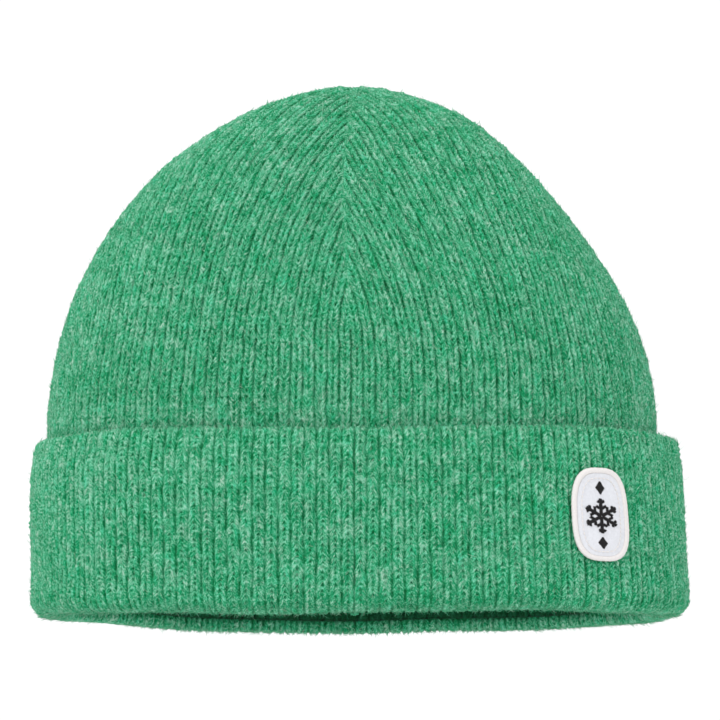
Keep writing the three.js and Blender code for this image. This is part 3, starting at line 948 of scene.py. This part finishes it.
def satin_threads(bars, generator):
    """Threads laid side by side across bars. A bar is (start, end, half widths at its ends)."""
    steps = 7
    rights, ups = [], []
    for start, end, (first_half, last_half) in bars:
        start, end = np.array(start), np.array(end)
        length = np.linalg.norm(end - start)
        ahead = (end - start) / length
        side = np.array([-ahead[1], ahead[0]])
        count = max(int(length / THREAD_PITCH), 2)
        for place in (np.arange(count) + 0.5) / count:
            half = first_half * (1 - place) + last_half * place + generator.normal(0, 0.035 * MM)
            slant = 0.12 * MM
            middle = start + ahead * length * place
            spots = middle + np.linspace(-1, 1, steps)[:, None] * (side * half + ahead * slant)
            rights.append(spots[:, 0])
            ups.append(spots[:, 1])
    return np.array(rights), np.array(ups)


def embroidered(name, bars, material, replaced, seed):
    generator = np.random.default_rng(seed)
    right, up = satin_threads(bars, generator)
    rise = np.sin(np.linspace(0, math.pi, right.shape[1])) ** 0.5
    height = (1.40 + 0.42 * rise) * MM + generator.normal(0, 0.025 * MM, len(right))[:, None]
    paths = patch_point(right, up, height)
    build = Build()
    radii = np.broadcast_to((0.13 + 0.05 * rise) * MM, right.shape)
    add_tubes(build, paths, radii, 8, patch_facing(), generator.random(len(right)))
    build.finish(name, material, "cuff", replaced)


def star_bars():
    """Six arms, each with two pairs of branches."""
    bars = []
    for turn in range(30, 390, 60):
        ahead = np.array([math.cos(math.radians(turn)), math.sin(math.radians(turn))])
        bars.append((ahead * 0.2 * MM, ahead * MOTIF_RADIUS, (0.62 * MM, 0.62 * MM)))
        for place, length in ((0.42, 0.34), (0.76, 0.23)):
            for side in (60, -60):
                slope = math.radians(turn + side)
                branch = np.array([math.cos(slope), math.sin(slope)])
                root = ahead * place * MOTIF_RADIUS
                tip = root + branch * length * MOTIF_RADIUS
                bars.append((root + branch * 0.5 * MM, tip, (0.5 * MM, 0.5 * MM)))
    return bars


def diamond_bars(up):
    low, middle, high = (0, up - 2.1 * MM), (0, up), (0, up + 2.1 * MM)
    return [(low, middle, (0.15 * MM, 1.9 * MM)), (middle, high, (1.9 * MM, 0.15 * MM))]


def make_patch():
    white_twill = cloth_material("white_twill_cloth", (0.66, 0.67, 0.71), 0.8, 260, 0.05)
    felt = cloth_material("pale_felt_cloth", (0.60, 0.60, 0.58), 1.0, 700, 0.10)
    white_thread = cloth_material("white_thread_wound", (0.72, 0.69, 0.68), 0.55, 900, 0.06)
    black_thread = cloth_material("black_thread_wound", (0.006, 0.005, 0.006), 0.6, 900, 0.35)
    patch_sheet("patch_felt_backing", *FELT, felt_relief, (41, 61), felt, "felt", ("patch_backing",))
    patch_sheet("patch_twill_base", *TWILL, twill, (151, 241), white_twill, "white_twill", ("patch_base",))
    patch_border(white_thread)
    patch_sewing(white_thread)
    motif = {"patch_star": star_bars(), "patch_upper_diamond": diamond_bars(MOTIF_DIAMOND_OFFSET),
             "patch_lower_diamond": diamond_bars(-MOTIF_DIAMOND_OFFSET)}
    for seed, (node, bars) in enumerate(motif.items(), 21):
        embroidered(node + "_threads", bars, black_thread, (node,), seed)


# ---- Seams, closure and label ------------------------------------------------------------
def seam(name, angle, levels, outward, body, bend, material, replaced):
    """A linked seam: two yarns that loop over each other along it."""
    heights = outline(level_of_height(np.linspace(*levels, 200)))[1]
    line = surface(np.full(200, angle), level_of_height(heights))
    loops = int(run_length(line)[-1] / SEAM_PITCH)
    place = np.linspace(0, 1, loops * 14 + 1)
    turn = 2 * math.pi * place * loops
    build = Build()
    for shift in (0, math.pi):
        z = levels[0] + (levels[1] - levels[0]) * np.clip(place + 0.16 / loops * np.sin(2 * turn), 0, 1)
        level = level_of_height(z)
        middle = surface(np.full_like(level, angle), level)
        normal = normals(np.full_like(level, angle), level)
        side = unit(np.cross(normal, [0.0, 0.0, 1.0]))
        path = (middle + side * (SEAM_HALF_WIDTH * np.sin(turn + shift))[:, None]
                + normal * (outward + SEAM_HALF_DEPTH * np.cos(turn + shift))[:, None])
        add_tubes(build, bend(path)[None], np.full((1, len(path)), SEAM_YARN), 7, normal[None])
    build.finish(name, material, body, replaced)


def crown_closure(material):
    """Where the last stitches are drawn in: pleats that run to the middle."""
    pleats, rings, around_steps = 18, 16, 216
    share = np.linspace(0, 1, rings)
    angle = np.linspace(0, 2 * math.pi, around_steps, endpoint=False)
    share, angle = np.meshgrid(share, angle, indexing="ij")
    hole = (CROWN_HOLE_RADIUS / HALF_DEPTH * section_radius(angle) + 1.2 * MM) * share
    wave = np.cos(pleats * angle + 0.5 * np.sin(3 * angle))
    wave = wave * np.sin(math.pi * np.clip(share * 1.05, 0, 1)) ** 0.7
    height = HAT_HEIGHT + (-0.3 + 0.40 * wave - 0.5 * np.exp(-(share / 0.22) ** 2) - 0.7 * share ** 4) * MM
    build = Build()
    top = np.stack([hole * np.cos(angle), hole * np.sin(angle), height], axis=-1)
    low = top.copy()
    low[..., 2] = HAT_HEIGHT - 3.6 * MM
    open_way = np.clip(0.55 + 0.4 * wave - 0.5 * np.exp(-(share / 0.2) ** 2), 0, 1)
    for points, flip, shift in ((top, False, 0), (low, True, 0.5)):
        first = build.add_points(slouch(points[1:].reshape(-1, 3)), open_way[1:].ravel(), 0.45,
                                 angle[1:].ravel() * 8, share[1:].ravel() * 4)
        middle = build.add_points(slouch(points[:1, 0]), 0.3, 0.45)
        number = np.arange((rings - 1) * around_steps).reshape(rings - 1, around_steps)
        beyond = np.roll(number, -1, axis=1)
        quads = np.stack([number[:-1], number[1:], beyond[1:], beyond[:-1]], axis=-1).reshape(-1, 4)
        fan = np.stack([np.full(around_steps, middle - first), number[0], beyond[0]], axis=1)
        spot = np.stack([share * np.cos(angle), share * np.sin(angle)], axis=-1)[1:].reshape(-1, 2)
        spot = np.concatenate([spot, [[0, 0]]]) * 0.22 + [0.25 + shift, 0.25]
        for faces in (quads, fan):
            faces = faces[:, ::-1] if flip else faces
            build.add_faces(faces + first, spot[faces])
    edge = np.arange(around_steps) + (rings - 2) * around_steps
    below = edge + (rings - 1) * around_steps + 1
    rim = np.stack([edge, below, np.roll(below, -1), np.roll(edge, -1)], axis=1)
    spots = np.zeros((around_steps, 4, 2))
    spots[:, :, 0] = (np.arange(around_steps)[:, None] + np.array([0, 0, 1, 1])) / around_steps * 0.98
    spots[:, :, 1] = 0.8 + np.array([0.1, 0, 0, 0.1])
    build.add_faces(rim, spots)
    build.finish("crown_gathered_closure", material, "crown", ("crown_closure",))


def care_label(material, thread):
    """A blank satin ribbon, sewn on at its top, with woven edges and a slight curl."""
    width, thickness = LABEL_HIGH.x - LABEL_LOW.x, 0.35 * MM
    middle = (LABEL_LOW.y + LABEL_HIGH.y) / 2
    top, bottom = LABEL_STITCH_HIGH.z, LABEL_LOW.z
    across, along = np.meshgrid(np.linspace(-0.5, 0.5, 61), np.linspace(0, 1, 97))
    selvedge = smooth(np.abs(across), 0.44, 0.47) * (1 - smooth(np.abs(across), 0.485, 0.5))
    weave = 0.02 * np.sin(along * 97 * math.pi) + 0.05 * selvedge * (1 + np.sin(along * 190))
    drop = smooth(along, 0.05, 1)
    curl = (0.5 * np.sin(across * 5 + along * 2.5) + 0.9 * along ** 2 * (2 * across) ** 2) * drop * MM
    centre = middle - (curl + 0.3 * MM * drop)
    centre = np.where(along < 0.08, middle + 0.35 * MM * (1 - along / 0.08), centre)
    height = top + (bottom - top) * along
    place = np.stack([(across.ravel() + 0.5) * 0.48, along.ravel() * 0.95], axis=1)
    build = Build()
    grids = []
    for side, flip, shift in ((-1, True, 0), (1, False, 0.5)):
        y = centre + side * (thickness / 2 + weave * MM)
        points = np.stack([across * width, y, height], axis=-1).reshape(-1, 3)
        first = build.add_points(points, rib=across.ravel() * width / MM, row=height.ravel() / MM)
        grids.append(first + np.arange(across.size).reshape(across.shape))
        add_grid(build, grids[-1], place, flip, shift)
    add_rim(build, grids[1], grids[0])
    label = build.finish("care_label_ribbon", material, None, ("care_label",))

    count, steps = 16, 9
    start = (np.arange(count) + 0.5) / count - 0.5
    along = np.linspace(-1, 1, steps)
    right = start[:, None] * (width - 1.2 * MM) + 0.55 * MM * along
    up = (LABEL_STITCH_LOW.z + LABEL_STITCH_HIGH.z) / 2 + 0.75 * MM * along * np.where(
        np.arange(count) % 2, 1, -1)[:, None]
    rise = np.sin(np.linspace(0, math.pi, steps)) ** 0.5
    y = middle - 0.15 * MM - 0.3 * MM * rise
    paths = np.stack([right, np.broadcast_to(y, right.shape), up], axis=-1)
    build = Build()
    add_tubes(build, paths, np.full(right.shape, 0.2 * MM), 7, np.array([0.0, -1.0, 0.0]))
    build.finish("care_label_zigzag", thread, "crown", ("care_label_stitching",))
    return label


# ---- Materials -------------------------------------------------------------------------
class Material:
    """A new material, with short ways to add nodes. Values are numbers, colours or node outputs."""

    def __init__(self, name, **settings):
        self.made = bpy.data.materials.new(name)
        self.made.use_nodes = True
        self.nodes, self.links = self.made.node_tree.nodes, self.made.node_tree.links
        self.shader = self.nodes["Principled BSDF"]
        for setting, value in settings.items():
            self.plug(self.shader.inputs[setting.replace("_", " ")], value)

    def plug(self, socket, value):
        if isinstance(value, tuple):
            socket.default_value = (*value, 1)
        elif isinstance(value, (int, float)):
            socket.default_value = value
        else:
            self.links.new(value, socket)

    def attribute(self, name):
        node = self.nodes.new("ShaderNodeAttribute")
        node.attribute_name = name
        return node.outputs["Fac"]

    def place(self):
        return self.nodes.new("ShaderNodeTexCoord").outputs["Object"]

    def math(self, operation, *values):
        node = self.nodes.new("ShaderNodeMath")
        node.operation = operation
        for socket, value in zip(node.inputs, values):
            self.plug(socket, value)
        return node.outputs[0]

    def vector(self, *values):
        node = self.nodes.new("ShaderNodeCombineXYZ")
        for socket, value in zip(node.inputs, values):
            self.plug(socket, value)
        return node.outputs["Vector"]

    def noise(self, vector, scale, detail, roughness=0.6):
        node = self.nodes.new("ShaderNodeTexNoise")
        values = (vector, scale, detail, roughness)
        for name, value in zip(("Vector", "Scale", "Detail", "Roughness"), values):
            self.plug(node.inputs[name], value)
        return node.outputs["Fac"]

    def ramp(self, factor, stops):
        node = self.nodes.new("ShaderNodeValToRGB")
        while len(node.color_ramp.elements) < len(stops):
            node.color_ramp.elements.new(0.5)
        for element, (place, colour) in zip(node.color_ramp.elements, stops):
            element.position = place
            element.color = (*colour, 1)
        self.plug(node.inputs["Fac"], factor)
        return node.outputs["Color"]

    def mix(self, blend, factor, first, second):
        node = self.nodes.new("ShaderNodeMix")
        node.data_type = "RGBA"
        node.blend_type = blend
        for socket, value in zip((node.inputs[0], node.inputs[6], node.inputs[7]), (factor, first, second)):
            self.plug(socket, value)
        return node.outputs[2]

    def bump(self, height, distance, strength):
        node = self.nodes.new("ShaderNodeBump")
        for name, value in (("Strength", strength), ("Distance", distance), ("Height", height)):
            self.plug(node.inputs[name], value)
        self.plug(self.shader.inputs["Normal"], node.outputs["Normal"])

    def coloured(self, value):
        self.plug(self.shader.inputs["Base Color"], value)
        return self.made


BLACK, WHITE = (0, 0, 0), (1, 1, 1)
WOOL_STOPS = [
    (0.20, (0.004, 0.215, 0.080)),
    (0.36, (0.014, 0.310, 0.132)),
    (0.50, (0.050, 0.378, 0.185)),
    (0.64, (0.110, 0.450, 0.258)),
    (0.82, (0.230, 0.560, 0.385)),
]
SHADE_STOPS = [                 # from deep in a hole to the open face
    (0.00, (0.01, 0.10, 0.06)),
    (0.10, (0.12, 0.42, 0.31)),
    (0.40, (0.44, 0.77, 0.67)),
    (0.75, (0.89, 1.00, 1.00)),
]
FIBRE_STOPS = [
    (0.00, (0.006, 0.230, 0.090)),
    (0.22, (0.030, 0.330, 0.150)),
    (0.45, (0.090, 0.440, 0.245)),
    (0.74, (0.190, 0.560, 0.360)),
    (0.84, (0.200, 0.370, 0.250)),
    (1.00, (0.340, 0.620, 0.440)),
]
WARMER, COLDER = (1.9, 0.98, 1.13), (0.32, 0.93, 0.83)


def wool_material(name):
    """Mixed fibres in fabric space, whose strokes lie along the stitches' legs, with painted shade that
    darkens the holes.
    """
    wool = Material(name, Roughness=0.95, Sheen_Weight=0.08, Sheen_Roughness=0.5, Specular_IOR_Level=0.12)
    rib, row = wool.attribute("rib"), wool.attribute("row")
    fabric = wool.vector(rib, wool.math("MULTIPLY", row, 0.55))
    within = wool.math("FRACT", wool.math("MULTIPLY", rib, 0.5))
    from_middle = wool.math("ABSOLUTE", wool.math("SUBTRACT", within, 0.5))
    across_leg = wool.math("MULTIPLY_ADD", row, -LEG_SLOPE, from_middle)
    stretched = ((across_leg, 14.0), (row, 1.5), (rib, 1.3))
    yarn = wool.vector(*(wool.math("MULTIPLY", value, size) for value, size in stretched))
    patches = wool.noise(fabric, 0.55, 2)
    flecks = wool.noise(fabric, 1.9, 3, 0.7)
    fine = wool.noise(fabric, 5.5, 3, 0.75)
    strokes = wool.noise(yarn, 1.0, 2)

    mixed = -2.24
    for value, weight in ((patches, 0.08), (flecks, 0.30), (fine, 2.0), (strokes, 2.2),
                          (wool.attribute("tint"), 0.9)):
        mixed = wool.math("MULTIPLY_ADD", value, weight, mixed)
    colour = wool.ramp(mixed, WOOL_STOPS)

    warm = wool.noise(fabric, 0.45, 4, 0.8)
    warmth = wool.ramp(warm, [(0.44, BLACK), (0.62, (0.8, 0.8, 0.8))])
    coldness = wool.ramp(warm, [(0.33, WHITE), (0.46, BLACK)])
    colder = wool.mix("MULTIPLY", 1.0, colour, COLDER)
    colour = wool.mix("MIX", warmth, colour, wool.mix("MULTIPLY", 1.0, colour, WARMER))
    colour = wool.mix("MIX", coldness, colour, colder)
    shade = wool.ramp(wool.attribute("open"), SHADE_STOPS)
    wool.bump(strokes, 0.5 * MM, 0.7)
    return wool.coloured(wool.mix("MULTIPLY", 1.0, colour, shade))


def fibre_material(name):
    fibre = Material(name, Roughness=0.8, Specular_IOR_Level=0.25)
    fine = fibre.noise(fibre.place(), 1500, 2)
    mixed = fibre.math("MULTIPLY_ADD", fine, 0.2, fibre.math("SUBTRACT", fibre.attribute("tint"), 0.1))
    return fibre.coloured(fibre.ramp(mixed, FIBRE_STOPS))


def cloth_material(name, colour, roughness, scale, spread):
    """Thread or cloth with slight variation. scale is in 1/m."""
    cloth = Material(name, Specular_IOR_Level=0.3)
    grain = cloth.noise(cloth.place(), scale * 4, 3, 0.7)
    low = tuple(c * (1 - spread) for c in colour)
    high = tuple(min(c * (1 + spread), 1) for c in colour)
    rough = cloth.math("MULTIPLY_ADD", grain, 0.2, roughness - 0.1)
    cloth.plug(cloth.shader.inputs["Roughness"], rough)
    cloth.bump(grain, 0.06 * MM, 0.6)
    return cloth.coloured(cloth.ramp(grain, [(0.35, low), (0.65, high)]))


# ---- Stage -------------------------------------------------------------------------------
def make_stage():
    """A wide pale floor under a white sky, well below the hat, which a head holds up."""
    bpy.ops.mesh.primitive_circle_add(vertices=96, radius=60, fill_type="NGON", location=(0, 0, FLOOR_HEIGHT))
    floor = bpy.context.object
    floor.name = "floor"
    floor.data.materials.append(Material("pale_floor", Roughness=0.9).coloured((0.92, 0.92, 0.92)))


def make_light(name, place, power):
    """A soft square light that faces the middle of the hat."""
    data = bpy.data.lights.new(name, "AREA")
    data.size = LIGHT_SIZE
    data.energy = power
    light = bpy.data.objects.new(name, data)
    light.location = place
    light.rotation_euler = (LIGHT_AIM - light.location).to_track_quat("-Z", "Y").to_euler()
    bpy.context.scene.collection.objects.link(light)


def make_lights():
    world = bpy.data.worlds.new("studio")
    world.use_nodes = True
    sky = world.node_tree.nodes["Background"]
    sky.inputs["Color"].default_value = (1, 1, 1, 1)
    sky.inputs["Strength"].default_value = WHITE_SKY
    bpy.context.scene.world = world
    make_light("key", (-0.85, -1.2, 1.65), KEY_POWER)
    make_light("fill", (1.0, -1.5, 0.7), FILL_POWER)


def make_camera():
    """A long lens a little below the rim, so that the inside of the back rim shows under the front one."""
    data = bpy.data.cameras.new("camera")
    data.sensor_width = 36
    camera = bpy.data.objects.new("camera", data)
    distance, below_rim, view_width = 2.4, 0.112, 0.2592
    target = Vector((0.0020, 0, 0.0945))
    camera.location = (target.x, -distance, -below_rim)
    away = target - camera.location
    data.lens = data.sensor_width * away.length / view_width
    camera.rotation_euler = away.to_track_quat("-Z", "Y").to_euler()
    bpy.context.scene.collection.objects.link(camera)
    bpy.context.scene.camera = camera


def main():
    bpy.context.scene.view_settings.view_transform = "Standard"
    wool = wool_material("green_rib_wool")
    fibres = fibre_material("loose_wool_fibres")
    for index, quarter in enumerate(QUARTERS):
        make_quarter(quarter, index, wool, fibres)
    make_patch()
    seam_wool = wool_material("green_seam_yarn")
    inner = -KNIT - 1.1 * MM
    for side, degrees in (("front", -90), ("right", 0), ("back", 90), ("left", 180)):
        seam("dart_seam_loops_" + side, math.radians(degrees), (DART_START + 1 * MM, HAT_HEIGHT - 3 * MM),
             inner, "crown", slouch, seam_wool, ("dart_seam_" + side,))
    seam("body_back_seam_loops", BACK, (WALL_LOW.z + 2 * MM, DART_START - 1 * MM), inner,
         "crown", slouch, seam_wool, ("body_back_seam",))
    seam("cuff_back_seam_loops", BACK, (FOLD_THICKNESS + 1 * MM, CUFF_HEIGHT - 4 * MM),
         CUFF_INSIDE - 0.9 * MM, "cuff", cuff_sag, seam_wool, ("cuff_back_seam",))
    crown_closure(wool)
    satin = cloth_material("white_satin_ribbon", (0.88, 0.88, 0.86), 0.38, 500, 0.04)
    thread = cloth_material("green_sewing_thread", (0.06, 0.30, 0.16), 0.6, 900, 0.2)
    label = care_label(satin, thread)
    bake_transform(label)
    make_stage()
    make_lights()
    make_camera()


main()
